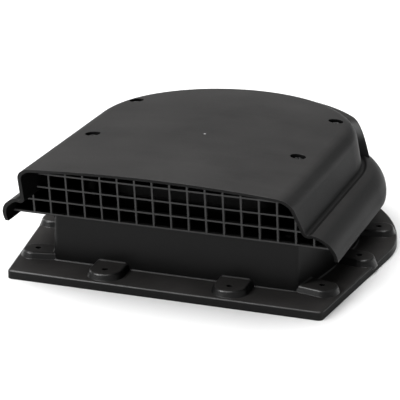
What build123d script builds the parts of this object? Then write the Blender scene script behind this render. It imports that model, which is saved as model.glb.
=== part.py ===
from build123d import *
import math
import os

# Roof ventilation cover: a flanged base with an upstand, a tray with a throat, a grille and a hood.
# Millimetres. +Z is up and the grille faces -Y. The origin is at the centre of the footprint, at the
# flange's underside. Positions marked "behind" are measured back from the foot of the grille.

# ---- driving dimensions ----
GRILLE_FOOT_Y = -110.95        # foot of the grille
TRAY_TOP_Z = 51.0              # top of the tray at the grille
PITCH = 2.3                    # degrees by which hood, tray and grille fall towards the back
WALL = 3.0                     # general moulding wall

# flange
FLANGE_TOP = 7.5
FLANGE_FRONT = -27.0           # behind
FLANGE_FRONT_HALF = 134.6
BASE_CENTRE_V = 114.0          # centre of the round backs of flange and upstand, behind
FLANGE_BACK_R = 157.3
FLANGE_WIDEST_V = 128.0        # where the straight side meets the round back, behind
FLANGE_BEND_R = 100.0
FLANGE_CORNER_R = 4.0
FLANGE_EDGE_R = 2.0

# upstand
UPSTAND_FRONT = 5.0            # behind
UPSTAND_FRONT_HALF = 105.9
UPSTAND_SIDE_MID = (120.2, 68.0)  # half width, and how far behind
UPSTAND_R = 125.0
UPSTAND_CORNER_R = 5.0
UPSTAND_DRAFT = 2.0            # degrees
UPSTAND_FOOT = 0.9             # leg of the bevel along its foot

# fixing pads on the flange
PAD_HEIGHT = 5.5
PAD_DRAFT = 22.0               # degrees
PAD_FLAT = 1.2                 # half of the flat left at a pad's outer end
PAD_EDGE_R = 2.4
PAD_CAVITY_INSET = 5.0
FRONT_PAD = (23.0, 13.7, 16.8)  # reach from the hole back into the wall, nose beyond the hole, half width
SIDE_PAD = (20.0, 15.7, 13.7)
BACK_PAD = (20.0, 13.0, 13.7)
FIX_HOLE_R = 2.5
FIX_COLUMN_R = 5.5
FRONT_HOLES = (53.6, -11.8)    # half spacing, and how far behind
CORNER_HOLES = (123.6, 13.9)
SIDE_HOLES = (135.9, 84.4)
REAR_SIDE_HOLES = (135.9, 153.0)
SIDE_PAD_TURNS = (-12.0, -10.0, 12.0)  # degrees to the back of corner, side and rear side pads
BACK_HOLES_R = 140.0
BACK_HOLES_ANGLES = (53.0, 90.0, 127.0)

# hood, in its own section: half widths and heights above the tray's top
HOOD_CENTRE_V = 133.3          # centre of the half-round back, behind the grille's foot
CROWN_TOP = 59.2
CROWN_EDGE = (113.5, 53.2)
SHOULDER_R = 15.0
VALLEY = (120.6, 16.6)
VALLEY_R = 2.4
BEAD = (124.6, 19.6)           # crest of the bead beside the valley
BEAD_R = 2.2
SKIRT_MID = (140.5, 6.0)
SKIRT_FOOT = (142.3, -7.3)
LIP_FOOT_V = -9.2              # the mouth's leaning edge at the skirt's foot
LIP_LEAN = 35.2                # degrees forward of upright
SKIRT_MARGIN = 12.0            # the section runs on below the foot, to be cut flat there
HOOD_REACH = 75.0              # how far the straight part runs in front of the grille, uncut
GATE = (2.0, 76.6)             # moulding gate mark on the hood's top: X and v
GATE_R = 1.6
GATE_DEPTH = 0.4

# raised rim round the hood's back
RIM_START = 25.0               # degrees round from the side
RIM_INNER_R = 105.6            # inside the hood's wall
RIM_FOOT_R = 131.0
RIM_TOP_R = 122.5
RIM_FOOT_W = 11.0
RIM_TOP_W = 47.0
RIM_WALL = 2.0
RIM_END_R = 28.0               # rounding of its ends, seen from the side

# grille
GRILLE_PITCH_X = 15.0
GRILLE_PITCH_Z = 12.25
GRILLE_LEAN = 10.0             # degrees forward
BAR = 1.5
BAR_DEPTH = 3.0
GRILLE_COLUMNS = 17
GRILLE_ROWS = 5
GRILLE_DROP = 1.2              # from the tray's top to the grille's foot
GRILLE_GAP = 0.3

# tray and throat
TRAY_T = 2.6
TRAY_GAP = 0.4                 # between the tray's edge and the skirt
THROAT_HALF = 78.0
THROAT_FRONT = 42.0
THROAT_BACK = 206.0
THROAT_R = 30.0
THROAT_RIM_T = 2.5
THROAT_RIM_H = 16.0

# insect screen and its frame
MESH_T = 0.6
FRAME_T = 3.0
FRAME_SKIRT = 4.0
FRAME_BAR = 4.0
FRAME_LAND = 5.0               # how far the frame covers the mesh inwards
FRAME_GAP = 0.2
FRAME_WALL = 2.0

# hood screws, posts and recesses
HOOD_SCREWS = [(89.5, 54.5), (91.6, 165.5)]
RECESS_R = 6.5
RECESS_DEPTH = 4.2
POST_R = 6.0
POST_TOP = 44.0
HOOD_BOSS_R = 8.0
CLEAR_R = 2.3
PILOT_R = 1.7
HEAD_R = 4.0
HEAD_H = 2.6
SCREW_LENGTH = 32.0
CROSS_SLOT = 0.9
PAN_ROUNDING = 0.6             # of the head's height
TIP_LENGTH = 2.0               # of the shank's radius
TIP_FLAT = 0.3                 # of the shank's radius

# tray screws
TRAY_SCREWS = [(95.0, 17.0, -45.0), (113.0, 100.0, 0.0), (84.0, 191.0, 45.0)]  # half width, v and turn
TRAY_BOSS_R = 5.0
TRAY_WEB_REACH = 12.0
TRAY_BOSS_LENGTH = 22.0
TRAY_SCREW_LENGTH = 14.0
TRAY_HEAD_R = 3.6
TRAY_HEAD_H = 2.2
TRAY_SHANK_R = 1.7
TRAY_PILOT_R = 1.4

FAR = 400.0                    # larger than the whole cover

# the hood's frame: v runs back from the grille's foot and w stands up from the tray's top, both pitched
UPPER = Pos(0, GRILLE_FOOT_Y, TRAY_TOP_Z) * Rot(-PITCH, 0, 0)


# ---- small helpers ----
def behind(distance):
    """Y of a point that lies this far behind the grille's foot."""
    return GRILLE_FOOT_Y + distance


def mirrored(points):
    """The points and their images on the other side."""
    return [(side * x, y) for x, y in points for side in (1, -1)]


def upright(face):
    """Turn a flat face so that its Y becomes Z."""
    return Rot(90, 0, 0) * face


def rounded_box(half, front, back, radius):
    """Flat rounded rectangle, symmetric about X = 0."""
    face = RectangleRounded(2 * half, back - front, radius)
    return Pos(0, (front + back) / 2) * face


# ---- base ----
def flange_outline():
    """Plan of the flange: straight front, flared sides and a round back."""
    centre = behind(BASE_CENTRE_V)
    front = (FLANGE_FRONT_HALF, behind(FLANGE_FRONT))
    along = FLANGE_WIDEST_V - BASE_CENTRE_V
    widest = (math.sqrt(FLANGE_BACK_R**2 - along**2), behind(FLANGE_WIDEST_V))
    back = ThreePointArc(widest, (0, centre + FLANGE_BACK_R), (-widest[0], widest[1]))
    right = Line(front, widest)
    face = make_face([right, mirror(right, about=Plane.YZ), back, Line((-front[0], front[1]), front)])
    corners = face.vertices().sort_by(Axis.Y)
    face = fillet(corners[:2], FLANGE_CORNER_R)
    bends = face.vertices().group_by(Axis.Y)[-1]
    return fillet(bends, FLANGE_BEND_R)


def upstand_outline(inset):
    """Plan of the upstand: straight front, bowed sides and a half-round back, inset by the given amount."""
    front = behind(UPSTAND_FRONT) + inset
    half = UPSTAND_FRONT_HALF - inset
    radius = UPSTAND_R - inset
    centre = behind(BASE_CENTRE_V)
    middle = (UPSTAND_SIDE_MID[0] - inset, behind(UPSTAND_SIDE_MID[1]))
    right = ThreePointArc((half, front), middle, (radius, centre))
    left = mirror(right, about=Plane.YZ)
    back = ThreePointArc((radius, centre), (0, centre + radius), (-radius, centre))
    face = make_face([right, back, left, Line((-half, front), (half, front))])
    corners = face.vertices().sort_by(Axis.Y)[:2]
    return fillet(corners, UPSTAND_CORNER_R - inset)


def pad_outline(reach, nose, half, inset):
    """Tongue that runs from the upstand (-X) out past its hole at the origin, with a rounded outer end."""
    length = reach + nose - inset
    outline = Pos(nose - inset, 0) * Rectangle(length, 2 * (half - inset), align=(Align.MAX, Align.CENTER))
    outer = outline.vertices().group_by(Axis.X)[-1]
    return fillet(outer, half - inset - PAD_FLAT)


def pad_body(shape):
    """Outside of a fixing pad, with drafted sides and a rounded top edge."""
    body = extrude(pad_outline(*shape, 0), PAD_HEIGHT + WALL, taper=PAD_DRAFT)
    return fillet(body.faces().sort_by(Axis.Z)[-1].edges(), PAD_EDGE_R)


def pad_cavity(shape):
    """Hollow below a fixing pad."""
    return extrude(pad_outline(*shape, PAD_CAVITY_INSET), PAD_HEIGHT)


def fixing_pads():
    """Place of every fixing pad's hole with its outward turn, and the pad's reach, nose and half width."""
    pads = []
    for x, y in mirrored([FRONT_HOLES]):
        pads.append((Pos(x, behind(y)) * Rot(0, 0, -90), FRONT_PAD))
    for (x, y), turn in zip((CORNER_HOLES, SIDE_HOLES, REAR_SIDE_HOLES), SIDE_PAD_TURNS):
        for side, facing in ((1, turn), (-1, 180 - turn)):
            pads.append((Pos(side * x, behind(y)) * Rot(0, 0, facing), SIDE_PAD))
    for angle in BACK_HOLES_ANGLES:
        place = Pos(0, behind(BASE_CENTRE_V)) * Rot(0, 0, angle) * Pos(BACK_HOLES_R, 0)
        pads.append((place, BACK_PAD))
    return pads


def standing(radius, height):
    """Cylinder that stands on its own origin."""
    return Cylinder(radius, height, align=(Align.CENTER, Align.CENTER, Align.MIN))


def hanging(radius, length):
    """Cylinder that hangs from its own origin."""
    return Cylinder(radius, length, align=(Align.CENTER, Align.CENTER, Align.MAX))


def build_base():
    """Flange, fixing pads and hollow upstand, one moulding."""
    lift = FLANGE_TOP - WALL
    plate = extrude(flange_outline(), FLANGE_TOP)
    plate = fillet(plate.faces().sort_by(Axis.Z)[-1].edges(), FLANGE_EDGE_R)
    base = plate - extrude(offset(flange_outline(), -WALL), lift)
    base += Pos(0, 0, lift) * extrude(upstand_outline(0), TRAY_TOP_Z, taper=UPSTAND_DRAFT)
    bevel = Pos(0, 0, FLANGE_TOP) * extrude(upstand_outline(-UPSTAND_FOOT), UPSTAND_FOOT, taper=45)
    base += bevel

    pads = fixing_pads()
    keep_out = extrude(upstand_outline(-1), FAR)
    for place, shape in pads:
        base += place * Pos(0, 0, lift) * pad_body(shape)
        base += Pos(0, 0, PAD_HEIGHT) * bevel & place * extrude(pad_outline(*shape, PAD_CAVITY_INSET), FAR)
    for place, shape in pads:
        base -= place * Pos(0, 0, lift) * pad_cavity(shape) - keep_out
        base += place * standing(FIX_COLUMN_R, lift + PAD_HEIGHT)
    base -= Pos(0, 0, lift) * extrude(upstand_outline(WALL), TRAY_TOP_Z, taper=UPSTAND_DRAFT)
    base -= extrude(upstand_outline(WALL), lift)
    for place, _ in pads:
        base -= place * standing(FIX_HOLE_R, FAR)

    inside = extrude(upstand_outline(WALL), FAR)
    for x, v, outward in TRAY_SCREWS:
        for side, facing in ((1, outward), (-1, 180 - outward)):
            top = UPPER * Pos(side * x, v, -TRAY_T) * Rot(0, 0, facing)
            web = Box(TRAY_WEB_REACH, WALL, TRAY_BOSS_LENGTH, align=(Align.MIN, Align.CENTER, Align.MAX))
            base += (top * (hanging(TRAY_BOSS_R, TRAY_BOSS_LENGTH) + web)) & inside
            base -= top * hanging(TRAY_PILOT_R, TRAY_SCREW_LENGTH)

    above_tray = Box(FAR, 2 * FAR, FAR, align=(Align.CENTER, Align.CENTER, Align.MIN))
    return base - UPPER * Pos(0, 0, -TRAY_T) * above_tray


# ---- hood ----
def hood_section():
    """Full section of the hood's outside, as a flat face: X is the half width and Y the height w."""
    spread = SKIRT_FOOT[0] - SKIRT_MID[0]
    below = (SKIRT_FOOT[0] + spread / 2, SKIRT_FOOT[1] - SKIRT_MARGIN)
    crown = ThreePointArc((-CROWN_EDGE[0], CROWN_EDGE[1]), (0, CROWN_TOP), CROWN_EDGE)
    side = [Line(CROWN_EDGE, VALLEY), Line(VALLEY, BEAD), ThreePointArc(BEAD, SKIRT_MID, SKIRT_FOOT)]
    side.append(Line(SKIRT_FOOT, below))
    other = [mirror(edge, about=Plane.YZ) for edge in side]
    face = make_face([crown, *side, *other, Line((-below[0], below[1]), below)])
    for height, radius in ((CROWN_EDGE[1], SHOULDER_R), (VALLEY[1], VALLEY_R), (BEAD[1], BEAD_R)):
        corners = [vertex for vertex in face.vertices() if abs(vertex.Y - height) < 0.01]
        face = fillet(corners, radius)
    return face


def hood_solid(inset):
    """Solid D-shaped body with the hood's section: straight to the front, half round at the back."""
    section = hood_section()
    if inset:
        section = offset(section, -inset)
    straight = extrude(upright(section), HOOD_CENTRE_V + HOOD_REACH, dir=(0, -1, 0))
    half = section & Rectangle(FAR, FAR, align=(Align.MIN, Align.CENTER))
    back = revolve(upright(half), Axis.Z, revolution_arc=180)
    return Pos(0, HOOD_CENTRE_V, 0) * (straight + back)


def mouth_cut():
    """Everything in front of the hood's leaning mouth."""
    block = Box(FAR, FAR, 2 * FAR, align=(Align.CENTER, Align.MAX, Align.CENTER))
    return Pos(0, LIP_FOOT_V, SKIRT_FOOT[1]) * Rot(LIP_LEAN, 0, 0) * block


def rear_rim(inset):
    """Drafted half ring that stands on the bead round the hood's back, rounded down at both ends."""
    top = RIM_TOP_W - inset
    outline = Polyline(
        (RIM_INNER_R, RIM_FOOT_W),
        (RIM_FOOT_R - inset, RIM_FOOT_W),
        (RIM_TOP_R - inset, top),
        (RIM_INNER_R, top),
        close=True,
    )
    start = RIM_START + math.degrees(inset / RIM_FOOT_R)
    ring = revolve(upright(make_face(outline)), Axis.Z, revolution_arc=180 - 2 * start)
    ends = [edge for edge in ring.edges().group_by(Axis.Z)[-1] if edge.geom_type == GeomType.LINE]
    ring = fillet(ends, RIM_END_R - inset)
    return Pos(0, HOOD_CENTRE_V, 0) * Rot(0, 0, start) * ring


def roof_height(x, v):
    """Height w of the hood's crowned top at this place."""
    half, edge = CROWN_EDGE
    rise = CROWN_TOP - edge
    radius = (half * half + rise * rise) / (2 * rise)
    away = x if v < HOOD_CENTRE_V else math.hypot(x, v - HOOD_CENTRE_V)
    return CROWN_TOP - radius + math.sqrt(radius * radius - away * away)


def build_hood():
    """Hood moulding with its rear rim, screw recesses and inner bosses."""
    cavity = hood_solid(WALL) + rear_rim(RIM_WALL)
    hood = hood_solid(0) + rear_rim(0) - cavity

    below_foot = Box(FAR, 2 * FAR, FAR, align=(Align.CENTER, Align.CENTER, Align.MAX))
    hood -= Pos(0, 0, SKIRT_FOOT[1]) * below_foot
    hood -= mouth_cut()

    for x, v in mirrored(HOOD_SCREWS):
        roof = roof_height(x, v)
        seat = roof - RECESS_DEPTH
        hood += Pos(x, v, POST_TOP) * standing(HOOD_BOSS_R, roof - WALL / 2 - POST_TOP)
        hood -= Pos(x, v, seat) * standing(RECESS_R, FAR)
        hood -= Pos(x, v, 0) * standing(CLEAR_R, FAR)
    hood -= Pos(*GATE, CROWN_TOP - GATE_DEPTH) * standing(GATE_R, FAR)
    return UPPER * hood


# ---- grille ----
def build_grille():
    """Square-celled grille whose bars end at the hood's inside."""
    opening = offset(hood_section(), -WALL - GRILLE_GAP)
    stem = extrude(upright(opening), FAR / 2, both=True)
    below = Pos(0, 0, -GRILLE_DROP) * Box(FAR, FAR, FAR, align=(Align.CENTER, Align.CENTER, Align.MAX))
    bars = Part()
    for column in range(GRILLE_COLUMNS):
        x = (column - (GRILLE_COLUMNS - 1) / 2) * GRILLE_PITCH_X
        bars += Pos(x, 0, 0) * Box(BAR, BAR_DEPTH, FAR, align=(Align.CENTER, Align.MIN, Align.CENTER))
    for row in range(GRILLE_ROWS):
        height = row * GRILLE_PITCH_Z - GRILLE_DROP
        bars += Pos(0, 0, height) * Box(FAR, BAR_DEPTH, BAR, align=(Align.CENTER, Align.MIN, Align.MIN))
    grille = (Rot(GRILLE_LEAN, 0, 0) * bars & stem) - below
    return UPPER * grille


# ---- tray and throat ----
def build_tray():
    """Tray that fills the hood's foot, with a rimmed throat and the posts for the hood's screws."""
    plate = Pos(0, 0, -TRAY_T) * Box(FAR, 2 * FAR, TRAY_T, align=(Align.CENTER, Align.CENTER, Align.MIN))
    tray = hood_solid(WALL + TRAY_GAP) & plate
    front = Box(FAR, FAR, FAR, align=(Align.CENTER, Align.MAX, Align.CENTER))
    tray -= Pos(0, BAR_DEPTH + GRILLE_GAP, 0) * front

    rim = rounded_box(THROAT_HALF + THROAT_RIM_T, THROAT_FRONT - THROAT_RIM_T, THROAT_BACK + THROAT_RIM_T,
                      THROAT_R + THROAT_RIM_T)
    tray += extrude(rim, THROAT_RIM_H)
    throat = rounded_box(THROAT_HALF, THROAT_FRONT, THROAT_BACK, THROAT_R)
    tray -= extrude(throat, FAR, both=True)

    for x, v in mirrored(HOOD_SCREWS):
        tray += Pos(x, v, 0) * standing(POST_R, POST_TOP)
        tray -= Pos(x, v, POST_TOP) * hanging(PILOT_R, SCREW_LENGTH)
    for x, v in mirrored([place[:2] for place in TRAY_SCREWS]):
        tray -= Pos(x, v, 0) * hanging(TRAY_SHANK_R, FAR)
    return UPPER * tray


def frame_windows():
    """The four windows of the screen's frame."""
    rim = rounded_box(THROAT_HALF - FRAME_LAND, THROAT_FRONT + FRAME_LAND, THROAT_BACK - FRAME_LAND,
                      THROAT_R - FRAME_LAND)
    middle = (THROAT_FRONT + THROAT_BACK) / 2
    rim -= Rectangle(FRAME_BAR, FAR * 2)
    rim -= Pos(0, middle) * Rectangle(FAR, FRAME_BAR)
    return rim


def build_screen():
    """Flat insect mesh on the throat's rim."""
    edge = rounded_box(THROAT_HALF + THROAT_RIM_T, THROAT_FRONT - THROAT_RIM_T, THROAT_BACK + THROAT_RIM_T,
                       THROAT_R + THROAT_RIM_T)
    return UPPER * Pos(0, 0, THROAT_RIM_H) * extrude(edge, MESH_T)


def build_screen_frame():
    """Cap ring with cross bars that clips the mesh to the throat's rim."""
    gap = THROAT_RIM_T + FRAME_GAP
    outer = gap + FRAME_WALL
    top = THROAT_RIM_H + MESH_T
    cover = rounded_box(THROAT_HALF + outer, THROAT_FRONT - outer, THROAT_BACK + outer, THROAT_R + outer)
    hollow = rounded_box(THROAT_HALF + gap, THROAT_FRONT - gap, THROAT_BACK + gap, THROAT_R + gap)
    ring = Pos(0, 0, top - FRAME_SKIRT) * extrude(cover, FRAME_T + FRAME_SKIRT)
    ring -= Pos(0, 0, top - FRAME_SKIRT) * extrude(hollow, FRAME_SKIRT)
    ring -= extrude(frame_windows(), FAR)
    return UPPER * ring


# ---- screws ----
def pan_screw(head_r, head_h, shank_r, length):
    """Pan-head screw with a cross recess; its origin is under the head and the shank hangs down."""
    head = fillet(standing(head_r, head_h).edges().group_by(Axis.Z)[-1], head_h * PAN_ROUNDING)
    slot = Box(head_r, CROSS_SLOT, head_h) + Box(CROSS_SLOT, head_r, head_h)
    head -= Pos(0, 0, head_h) * slot
    taper = TIP_LENGTH * shank_r
    point = Cone(TIP_FLAT * shank_r, shank_r, taper, align=(Align.CENTER, Align.CENTER, Align.MIN))
    return head + hanging(shank_r, length - taper) + Pos(0, 0, -length) * point


def build_hood_screws():
    """The four screws that hold the hood down on its posts."""
    screws = []
    for x, v in mirrored(HOOD_SCREWS):
        seat = roof_height(x, v) - RECESS_DEPTH
        screws.append(UPPER * Pos(x, v, seat) * pan_screw(HEAD_R, HEAD_H, PILOT_R, SCREW_LENGTH))
    return Compound(children=screws)


def build_tray_screws():
    """The six screws that hold the tray down on the upstand."""
    screws = []
    for x, v in mirrored([place[:2] for place in TRAY_SCREWS]):
        screw = pan_screw(TRAY_HEAD_R, TRAY_HEAD_H, TRAY_PILOT_R, TRAY_SCREW_LENGTH)
        screws.append(UPPER * Pos(x, v, 0) * screw)
    return Compound(children=screws)


PARTS = {
    "base_flange": build_base,
    "upper_tray": build_tray,
    "tray_screws": build_tray_screws,
    "insect_screen": build_screen,
    "screen_frame": build_screen_frame,
    "front_grille": build_grille,
    "hood_shell": build_hood,
    "hood_screws": build_hood_screws,
}

os.makedirs("parts", exist_ok=True)
for name, build in PARTS.items():
    shape = build()
    shape.label = name
    export_step(shape, f"parts/{name}.step")
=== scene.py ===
import math

import bpy
from mathutils import Matrix, Vector


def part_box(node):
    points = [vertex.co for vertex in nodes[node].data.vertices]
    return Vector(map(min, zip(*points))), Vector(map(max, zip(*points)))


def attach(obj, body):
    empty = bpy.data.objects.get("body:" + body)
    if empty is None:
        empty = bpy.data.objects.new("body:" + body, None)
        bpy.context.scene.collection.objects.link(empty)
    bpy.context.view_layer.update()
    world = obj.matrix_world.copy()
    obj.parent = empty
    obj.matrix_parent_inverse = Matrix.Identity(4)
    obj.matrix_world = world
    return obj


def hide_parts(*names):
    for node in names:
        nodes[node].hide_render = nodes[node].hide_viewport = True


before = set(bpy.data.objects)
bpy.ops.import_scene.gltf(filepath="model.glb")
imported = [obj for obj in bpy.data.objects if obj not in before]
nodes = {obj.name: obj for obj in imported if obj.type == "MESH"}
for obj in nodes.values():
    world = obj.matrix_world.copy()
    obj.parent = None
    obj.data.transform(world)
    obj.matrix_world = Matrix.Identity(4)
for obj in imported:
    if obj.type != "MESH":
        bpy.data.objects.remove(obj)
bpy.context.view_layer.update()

MM = 0.001
PITCH = math.radians(2.3)      # hood, tray and screen fall towards the back
GRILLE_FOOT = MM * Vector((0.0, -110.95, 51.0))
GATE_MARK = MM * Vector((2.0, 76.6, 59.2))     # from the grille's foot

# ---- camera ----
CAMERA_PLACE = Vector((0.5068, -1.5399, 0.6558))
CAMERA_AIM = Vector((-0.29869, 0.88497, -0.35723))
CAMERA_LENS = 181.3
CAMERA_SENSOR = 36.0
CLIP_START = 0.05
CLIP_END = 60.0

# ---- studio ----
FLOOR_RADIUS = 12.0
FLOOR_SIDES = 96
FLOOR_DROP = 0.2 * MM
FLOOR_TONE = 0.90
FLOOR_ROUGHNESS = 0.9
FLOOR_SPECULAR = 0.1
SURROUND_STRENGTH = 0.16
LIGHT_AIM = (0.0, 0.0, 0.05)
LIGHTS = {                     # place, width, height and power
    "top_box": ((-0.2, -0.1, 1.8), 2.0, 2.0, 58.0),
    "front_left_box": ((-1.3, -1.3, 1.4), 1.0, 0.7, 24.0),
    "left_back_box": ((-2.4, 1.0, 0.8), 0.6, 0.9, 10.0),
    "back_strip": ((-0.9, 2.7, 0.42), 1.8, 0.4, 1.5),
}

# ---- moulded plastic: scales in features to the metre, tones as factors of the plastic's own ----
MOTTLE_SCALE = 14.0
WAVE_SCALE = 26.0
FLOW_SCALE = 4.0
FLOW_TURN = (0.0, 0.0, 0.3)
FLOW_STRETCH = (3.0, 60.0, 20.0)
FLOW_SHARE = 0.5
CELL_SCALE = 0.6               # of the grain's scale
CELL_DEPTH = 0.6               # of the grain's depth
CLOUD_RANGE = (0.45, 1.05)
CLOUD_DARK = 0.86
CLOUD_PALE = 1.16
SPECK_RANGE = (0.56, 0.80)
SPECK_SHARE = 0.35
SPECK_TONE = 2.2
# edges paler as rubbed wear and as a painted highlight along every edge
WEAR_AND_HIGHLIGHT_TONE = 2.6
WEAR_AND_HIGHLIGHT_LIFT = 0.01
# painted shade: tone of faces that look down or inwards
INNER_SHADE_TONE = 0.22
# painted shade: tone in corners and recesses that the sky barely reaches
CORNER_SHADE_TONE = 0.20
# colour of the paler patches on flat upward faces
PALE_TOP_COLOUR = (0.20, 0.19, 0.185, 1.0)
GATE_RIM_R = 1.6 * MM
GATE_MIDDLE_R = 1.0 * MM
GATE_TONE = 0.42               # not a factor
NOISE_BODY = (0.3, 0.7)        # where most of a noise's values lie
GRAIN_ROUGHNESS = (-0.05, 0.07)  # added to the plastic's own
MOTTLE_ROUGHNESS = (-0.03, 0.04)
EDGE_SMOOTHING = 0.10
PALE_TOP_PATCHES = (0.25, 0.75, 0.6, 1.4)  # range of the mottle, and the shares of the paler top colour that it gives
GRAIN_STRENGTH = 0.55
WAVE_STRENGTH = 0.35
WAVE_DEPTH = 0.35 * MM
INNER_GLOSS = 0.25             # share of the specular level left on inner faces

# ranges of a normal's rise, and of how far it points away from the middle
LOOKS_DOWN = (-0.6, -0.2)
LOOKS_UP = (0.3, 0.8)
LIES_FLAT = (0.80, 0.97)
SLANTS_OVER = (0.20, 0.45)
SLANTS_UNDER = (0.97, 0.85)
POINTS_AWAY = (-0.05, 0.02)
OPEN_SKY = (0.42, 0.88)        # share of the sky that reaches a face
SOFTENED = (0.995, 0.86)       # how far the bevelled normal has turned from the true one

# ranges of how far a face turns from the view, for gloss
GLOSS_FALL = (0.35, 0.58)
GLOSS_FLOOR = 0.025
RIM_RISE = (0.88, 0.99)
RIM_GLOSS = 0.25

# ---- metals ----
SCREW_EDGE_R = 0.25 * MM
TURNED_SCALE = 900.0
TURNED_STRETCH = (1.0, 1.0, 8.0)
TURNED_DEPTH = 0.03 * MM
TURNED_STRENGTH = 0.4
TURNED_ROUGHNESS = (-0.08, 0.10)  # added to the metal's own
PATCH_SCALE = 260.0
PATCH_DARK = 0.75              # of the metal's tone
PATCH_PALE = 1.25
RUBBED_SHARE = 0.7
RUBBED_TONE = 0.42
SCREW_METALLIC = 0.85
WIRE_TONE = 0.006
WIRE_DUST = (1.8, 1.7, 1.55)   # of the wire's tone
WIRE_DUST_RANGE = (0.45, 0.75)
WIRE_PATCH_SCALE = 40.0
WIRE_GRAIN_SCALE = 2500.0
WIRE_GRAIN_STRENGTH = 0.3
WIRE_GRAIN_DEPTH = 0.02 * MM
WIRE_ROUGHNESS = (0.38, 0.55)


# ---- node-tree helpers ----
def shader(name):
    """New material with an empty node tree, its principled shader and its output."""
    material = bpy.data.materials.new(name)
    material.use_nodes = True
    tree = material.node_tree
    tree.nodes.clear()
    output = tree.nodes.new("ShaderNodeOutputMaterial")
    surface = tree.nodes.new("ShaderNodeBsdfPrincipled")
    tree.links.new(surface.outputs["BSDF"], output.inputs["Surface"])
    return material, tree, surface


def node(tree, kind, inputs=None, **settings):
    """New node with its settings made and its inputs set, or linked where a socket is given."""
    made = tree.nodes.new(kind)
    for key, value in settings.items():
        setattr(made, key, value)
    for key, value in (inputs or {}).items():
        if isinstance(value, bpy.types.NodeSocket):
            tree.links.new(value, made.inputs[key])
        else:
            made.inputs[key].default_value = value
    return made


def maths(tree, operation, *values, clamp=False):
    """Result of a math node."""
    made = node(tree, "ShaderNodeMath", dict(enumerate(values)), operation=operation, use_clamp=clamp)
    return made.outputs[0]


def noise(tree, place, scale, detail=2.0, rough=0.5):
    """Noise value of this many features to the metre."""
    inputs = {"Vector": place, "Scale": scale, "Detail": detail, "Roughness": rough}
    return node(tree, "ShaderNodeTexNoise", inputs).outputs["Fac"]


def vector_maths(tree, operation, first, second, output="Value"):
    """Result of a vector math node."""
    return node(tree, "ShaderNodeVectorMath", {0: first, 1: second}, operation=operation).outputs[output]


def spread(tree, value, low, high, to_low=0.0, to_high=1.0):
    """Value mapped from one range to another, held at the ends."""
    inputs = {"Value": value, "From Min": low, "From Max": high, "To Min": to_low, "To Max": to_high}
    return node(tree, "ShaderNodeMapRange", inputs, clamp=True).outputs["Result"]


def stretched(tree, place, turn, factors):
    """Coordinates turned and stretched, for streaks."""
    inputs = {"Vector": place, "Rotation": turn, "Scale": factors}
    return node(tree, "ShaderNodeMapping", inputs).outputs["Vector"]


def grey(value):
    """Opaque grey."""
    return (value, value, value, 1.0)


def blend(tree, amount, first, second):
    """Colour between the two."""
    made = node(tree, "ShaderNodeMix", {0: amount}, data_type="RGBA")
    for index, colour in ((6, first), (7, second)):
        if isinstance(colour, bpy.types.NodeSocket):
            tree.links.new(colour, made.inputs[index])
        else:
            made.inputs[index].default_value = colour
    return made.outputs[2]


def edge_mask(tree, radius):
    """About 1 on edges and 0 on open faces, and the softened normal."""
    soft = node(tree, "ShaderNodeBevel", {"Radius": radius}, samples=6).outputs["Normal"]
    true_normal = node(tree, "ShaderNodeNewGeometry").outputs["Normal"]
    along = vector_maths(tree, "DOT_PRODUCT", soft, true_normal)
    return spread(tree, along, *SOFTENED), soft


def shade_side_mask(tree, place):
    """About 1 on outer and upward faces and 0 on faces that look down or inwards, which get painted shade,
    and the normal's rise.
    """
    normal = node(tree, "ShaderNodeNewGeometry").outputs["Normal"]
    level_place = vector_maths(tree, "MULTIPLY", place, (1.0, 1.0, 0.0), "Vector")
    away = vector_maths(tree, "DOT_PRODUCT", normal, level_place)
    rise = node(tree, "ShaderNodeSeparateXYZ", {0: normal}).outputs[2]
    outer = maths(tree, "MULTIPLY", spread(tree, away, *POINTS_AWAY), spread(tree, rise, *LOOKS_DOWN))
    return maths(tree, "MAXIMUM", outer, spread(tree, rise, *LOOKS_UP)), rise


def sheen_level(tree, normal, level):
    """Specular level that falls on slanting faces, as on dull plastic, and lifts again at the rims."""
    facing = node(tree, "ShaderNodeLayerWeight", {"Blend": 0.5, "Normal": normal}).outputs["Facing"]
    rim = spread(tree, facing, *RIM_RISE, 0.0, RIM_GLOSS)
    return maths(tree, "ADD", spread(tree, facing, *GLOSS_FALL, level, GLOSS_FLOOR), rim)


# ---- finishes ----
def plastic_colour(tree, place, tone, wear_and_highlight, mask, mottle, fine):
    """Clouded tone with flow streaks, pale specks of grain and paler edges, as rubbed wear and painted
    highlight.
    """
    flow = noise(tree, stretched(tree, place, FLOW_TURN, FLOW_STRETCH), FLOW_SCALE, 3.0)
    streaked = maths(tree, "ADD", mottle, maths(tree, "MULTIPLY", flow, FLOW_SHARE))
    cloud = spread(tree, streaked, *CLOUD_RANGE)
    colour = blend(tree, cloud, grey(tone * CLOUD_DARK), grey(tone * CLOUD_PALE))
    speck = maths(tree, "MULTIPLY", spread(tree, fine, *SPECK_RANGE), SPECK_SHARE)
    colour = blend(tree, speck, colour, grey(tone * SPECK_TONE))
    # paler edges: rubbed wear and a painted highlight, on concave edges too
    return blend(tree, maths(tree, "MULTIPLY", mask, wear_and_highlight), colour, grey(tone * WEAR_AND_HIGHLIGHT_TONE + WEAR_AND_HIGHLIGHT_LIFT))


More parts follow.
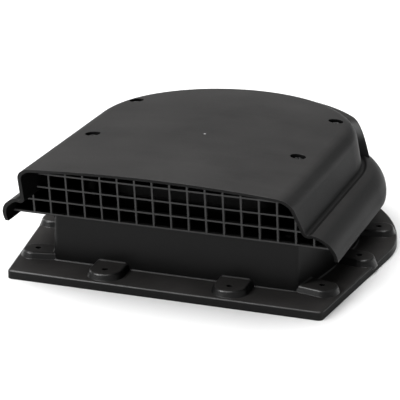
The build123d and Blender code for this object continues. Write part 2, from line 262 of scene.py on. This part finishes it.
def painted_shade_colour(tree, colour, tone, lit_faces, rise, mottle, pale_tops, shade_reach):
    """The colour with painted shade on inner faces, paler patches on flat tops and painted shade in corners.
    """
    # painted shade: faces that look down or inwards are darkened
    colour = blend(tree, lit_faces, grey(tone * INNER_SHADE_TONE), colour)
    # paler patches on flat upward faces
    pale_patch = maths(tree, "MULTIPLY", spread(tree, rise, *LIES_FLAT), spread(tree, mottle, *PALE_TOP_PATCHES))
    colour = blend(tree, maths(tree, "MULTIPLY", pale_patch, pale_tops), colour, PALE_TOP_COLOUR)
    if not shade_reach:
        return colour
    # painted shade in corners and recesses, darker where less of the sky reaches
    sky = node(tree, "ShaderNodeAmbientOcclusion", {"Distance": shade_reach}, samples=8).outputs["AO"]
    return blend(tree, spread(tree, sky, *OPEN_SKY), grey(tone * CORNER_SHADE_TONE), colour)


def grained_normal(tree, place, soft, fine, grain, grain_depth):
    """Normal of a spark-grained skin that is slightly wavy."""
    cells = node(tree, "ShaderNodeTexVoronoi", {"Vector": place, "Scale": grain * CELL_SCALE}, feature="F1")
    height = maths(tree, "SUBTRACT", fine, maths(tree, "MULTIPLY", cells.outputs["Distance"], CELL_DEPTH))
    inputs = {"Strength": GRAIN_STRENGTH, "Distance": grain_depth, "Height": height, "Normal": soft}
    grained = node(tree, "ShaderNodeBump", inputs).outputs["Normal"]
    wave = noise(tree, place, WAVE_SCALE, 2.0)
    inputs = {"Strength": WAVE_STRENGTH, "Distance": WAVE_DEPTH, "Height": wave, "Normal": grained}
    return node(tree, "ShaderNodeBump", inputs).outputs["Normal"]


def moulded_plastic(name, tone, rough, grain, grain_depth, specular, wear_and_highlight, edge_radius, pale_tops=0.0, shade_reach=0.0,
                    polish=0.0, gate=None):
    """Black moulding with grain, paler edges (wear and painted highlight), pale flat tops, painted inner and
    corner shade, slant polish and gate mark.
    """
    material, tree, surface = shader(name)
    place = node(tree, "ShaderNodeTexCoord").outputs["Object"]
    mask, soft = edge_mask(tree, edge_radius)
    mottle = noise(tree, place, MOTTLE_SCALE, 4.0, 0.6)
    fine = noise(tree, place, grain, 3.0, 0.65)
    lit_faces, rise = shade_side_mask(tree, place)

    colour = plastic_colour(tree, place, tone, wear_and_highlight, mask, mottle, fine)
    colour = painted_shade_colour(tree, colour, tone, lit_faces, rise, mottle, pale_tops, shade_reach)
    if gate:
        offset = vector_maths(tree, "DISTANCE", place, gate)
        spot = spread(tree, offset, GATE_RIM_R, GATE_MIDDLE_R)
        colour = blend(tree, spot, colour, grey(GATE_TONE))

    least, most = GRAIN_ROUGHNESS
    roughness = spread(tree, fine, *NOISE_BODY, rough + least, rough + most)
    roughness = maths(tree, "ADD", roughness, spread(tree, mottle, *NOISE_BODY, *MOTTLE_ROUGHNESS))
    roughness = maths(tree, "SUBTRACT", roughness, maths(tree, "MULTIPLY", mask, EDGE_SMOOTHING), clamp=True)

    slanted = maths(tree, "MINIMUM", spread(tree, rise, *SLANTS_OVER), spread(tree, rise, *SLANTS_UNDER))
    level = maths(tree, "ADD", sheen_level(tree, soft, specular), maths(tree, "MULTIPLY", slanted, polish))
    level = maths(tree, "MULTIPLY", level, spread(tree, lit_faces, 0.0, 1.0, INNER_GLOSS, 1.0))

    tree.links.new(colour, surface.inputs["Base Color"])
    tree.links.new(roughness, surface.inputs["Roughness"])
    tree.links.new(grained_normal(tree, place, soft, fine, grain, grain_depth), surface.inputs["Normal"])
    surface.inputs["Specular IOR Level"].default_value = specular
    tree.links.new(level, surface.inputs["Specular IOR Level"])
    return material


def screw_metal(name, tone, rough):
    """Dark-coated steel: fine turned marks, paler along edges where the driver has rubbed it."""
    material, tree, surface = shader(name)
    place = node(tree, "ShaderNodeTexCoord").outputs["Object"]
    mask, soft = edge_mask(tree, SCREW_EDGE_R)
    turned = noise(tree, stretched(tree, place, (0.0, 0.0, 0.0), TURNED_STRETCH), TURNED_SCALE, 3.0)
    patches = noise(tree, place, PATCH_SCALE, 3.0)
    colour = blend(tree, patches, grey(tone * PATCH_DARK), grey(tone * PATCH_PALE))
    colour = blend(tree, maths(tree, "MULTIPLY", mask, RUBBED_SHARE), colour, grey(RUBBED_TONE))
    least, most = TURNED_ROUGHNESS
    roughness = spread(tree, turned, *NOISE_BODY, rough + least, rough + most)
    inputs = {"Strength": TURNED_STRENGTH, "Distance": TURNED_DEPTH, "Height": turned, "Normal": soft}
    bump = node(tree, "ShaderNodeBump", inputs)
    tree.links.new(colour, surface.inputs["Base Color"])
    tree.links.new(roughness, surface.inputs["Roughness"])
    tree.links.new(bump.outputs["Normal"], surface.inputs["Normal"])
    surface.inputs["Metallic"].default_value = SCREW_METALLIC
    return material


def coated_wire(name):
    """Dark coated wire of the insect mesh, with dust caught in it."""
    material, tree, surface = shader(name)
    place = node(tree, "ShaderNodeTexCoord").outputs["Object"]
    patches = noise(tree, place, WIRE_PATCH_SCALE, 4.0, 0.6)
    fine = noise(tree, place, WIRE_GRAIN_SCALE, 2.0)
    pale_patch = tuple(WIRE_TONE * factor for factor in WIRE_DUST) + (1.0,)
    colour = blend(tree, spread(tree, patches, *WIRE_DUST_RANGE), grey(WIRE_TONE), pale_patch)
    roughness = spread(tree, fine, *NOISE_BODY, *WIRE_ROUGHNESS)
    inputs = {"Strength": WIRE_GRAIN_STRENGTH, "Distance": WIRE_GRAIN_DEPTH, "Height": fine}
    bump = node(tree, "ShaderNodeBump", inputs)
    tree.links.new(colour, surface.inputs["Base Color"])
    tree.links.new(roughness, surface.inputs["Roughness"])
    tree.links.new(bump.outputs["Normal"], surface.inputs["Normal"])
    return material


def gate_place():
    """Place of the moulding gate's mark on the hood's top, in its pitched frame."""
    tilt = Matrix.Rotation(-PITCH, 3, "X")
    return tuple(GRILLE_FOOT + tilt @ GATE_MARK)


def finish_node(name, material):
    """Give a CAD node this material all over."""
    slots = nodes[name].data.materials
    slots.clear()
    slots.append(material)


finish_node("hood_shell", moulded_plastic(
    "hood_grained", tone=0.020, rough=0.44, grain=1100.0, grain_depth=0.09 * MM, specular=0.30, wear_and_highlight=0.35,
    edge_radius=0.9 * MM, pale_tops=0.06, shade_reach=14.0 * MM, polish=0.04, gate=gate_place()))
finish_node("base_flange", moulded_plastic(
    "base_grained", tone=0.008, rough=0.34, grain=1000.0, grain_depth=0.05 * MM, specular=0.13, wear_and_highlight=0.90,
    edge_radius=0.8 * MM, pale_tops=0.15, polish=0.55))
finish_node("upper_tray", moulded_plastic(
    "tray_grained", tone=0.003, rough=0.50, grain=1000.0, grain_depth=0.05 * MM, specular=0.12, wear_and_highlight=0.35,
    edge_radius=0.6 * MM))
finish_node("front_grille", moulded_plastic(
    "grille_satin", tone=0.030, rough=0.45, grain=1300.0, grain_depth=0.05 * MM, specular=0.34, wear_and_highlight=0.45,
    edge_radius=0.35 * MM))
finish_node("screen_frame", moulded_plastic(
    "screen_frame_satin", tone=0.004, rough=0.48, grain=1200.0, grain_depth=0.05 * MM, specular=0.12,
    wear_and_highlight=0.40, edge_radius=0.5 * MM))
finish_node("hood_screws", screw_metal("hood_screw_black", tone=0.018, rough=0.34))
finish_node("tray_screws", screw_metal("tray_screw_black", tone=0.04, rough=0.40))


# ---- woven insect mesh ----
WIRE_PITCH = 2.5 * MM
WIRE_R = 0.14 * MM
MESH_CORNER_R = 32.5 * MM
EDGE_CLEAR = 0.4 * MM


def rounded_reach(offset, half, other_half, radius):
    """How far a rounded rectangle runs each way at this offset from its middle."""
    into_corner = abs(offset) - (half - radius)
    if into_corner <= 0:
        return other_half
    return other_half - radius + math.sqrt(max(radius * radius - into_corner * into_corner, 0.0))


def wire(points, direction, across, verts, faces):
    """Closed four-sided tube along the points, its faces outwards."""
    side = direction.cross(across)
    start = len(verts)
    for point in points:
        for turn in range(4):
            angle = math.pi / 4 + turn * math.pi / 2
            verts.append(point + WIRE_R * (math.cos(angle) * across + math.sin(angle) * side))
    for ring in range(len(points) - 1):
        base = start + 4 * ring
        for turn in range(4):
            follow = (turn + 1) % 4
            faces.append((base + turn, base + follow, base + 4 + follow, base + 4 + turn))
    faces.append((start + 3, start + 2, start + 1, start))
    end = len(verts) - 4
    faces.append((end, end + 1, end + 2, end + 3))


def woven_mesh():
    """Plain-woven wires in the plane of the CAD screen, cut to its rounded outline."""
    low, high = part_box("insect_screen")
    centre = (Vector(low) + Vector(high)) / 2
    half_x = (high[0] - low[0]) / 2 - EDGE_CLEAR
    half_v = (high[1] - low[1]) / 2 / math.cos(PITCH) - EDGE_CLEAR
    along = Vector((1.0, 0.0, 0.0))
    tilt = Matrix.Rotation(-PITCH, 3, "X")
    back = tilt @ Vector((0.0, 1.0, 0.0))
    up = tilt @ Vector((0.0, 0.0, 1.0))

    verts, faces = [], []
    runs = ((along, back, half_x, half_v, 0), (back, along, half_v, half_x, 1))
    for direction, across, half, other_half, phase in runs:
        count = int(other_half / WIRE_PITCH)
        for row in range(-count, count + 1):
            offset = row * WIRE_PITCH
            reach = rounded_reach(offset, other_half, half, MESH_CORNER_R)
            steps = int(2 * reach / WIRE_PITCH)
            points = []
            for step in range(-steps, steps + 1):
                distance = step * WIRE_PITCH / 2
                lift = WIRE_R * math.cos(math.pi * (distance / WIRE_PITCH + row + phase))
                points.append(centre + offset * across + distance * direction + lift * up)
            wire(points, direction, across, verts, faces)
    mesh = bpy.data.meshes.new("insect_mesh")
    mesh.from_pydata(verts, [], faces)
    mesh.polygons.foreach_set("use_smooth", [True] * len(mesh.polygons))
    mesh.update()
    piece = bpy.data.objects.new("insect_mesh", mesh)
    bpy.context.scene.collection.objects.link(piece)
    mesh.materials.append(coated_wire("mesh_wire"))
    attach(piece, "root")
    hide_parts("insect_screen")


woven_mesh()


# ---- studio ----
def floor():
    """Large pale round floor under the flange."""
    ring = []
    for side in range(FLOOR_SIDES):
        angle = 2 * math.pi * side / FLOOR_SIDES
        ring.append((FLOOR_RADIUS * math.cos(angle), FLOOR_RADIUS * math.sin(angle), -FLOOR_DROP))
    mesh = bpy.data.meshes.new("studio_floor")
    mesh.from_pydata(ring, [], [tuple(range(FLOOR_SIDES))])
    piece = bpy.data.objects.new("studio_floor", mesh)
    bpy.context.scene.collection.objects.link(piece)
    material, _, surface = shader("studio_white")
    surface.inputs["Base Color"].default_value = grey(FLOOR_TONE)
    surface.inputs["Roughness"].default_value = FLOOR_ROUGHNESS
    surface.inputs["Specular IOR Level"].default_value = FLOOR_SPECULAR
    mesh.materials.append(material)


def soft_light(name, place, width, height, power):
    """Rectangular softbox that faces the object."""
    data = bpy.data.lights.new(name, "AREA")
    data.shape = "RECTANGLE"
    data.size = width
    data.size_y = height
    data.energy = power
    lamp = bpy.data.objects.new(name, data)
    lamp.location = place
    lamp.rotation_euler = (Vector(LIGHT_AIM) - Vector(place)).to_track_quat("-Z", "Y").to_euler()
    bpy.context.scene.collection.objects.link(lamp)


def studio():
    """Pale surround with soft boxes above, in front on the left and behind."""
    world = bpy.data.worlds.new("studio_surround")
    world.use_nodes = True
    background = world.node_tree.nodes["Background"]
    background.inputs["Color"].default_value = grey(1.0)
    background.inputs["Strength"].default_value = SURROUND_STRENGTH
    bpy.context.scene.world = world
    for name, settings in LIGHTS.items():
        soft_light(name, *settings)


def camera():
    """Camera at the product view's place."""
    data = bpy.data.cameras.new("camera")
    data.lens = CAMERA_LENS
    data.sensor_width = CAMERA_SENSOR
    data.clip_start = CLIP_START
    data.clip_end = CLIP_END
    eye = bpy.data.objects.new("camera", data)
    eye.location = CAMERA_PLACE
    eye.rotation_euler = CAMERA_AIM.to_track_quat("-Z", "Y").to_euler()
    bpy.context.scene.collection.objects.link(eye)
    bpy.context.scene.camera = eye


floor()
studio()
camera()
bpy.context.scene.view_settings.view_transform = "Standard"
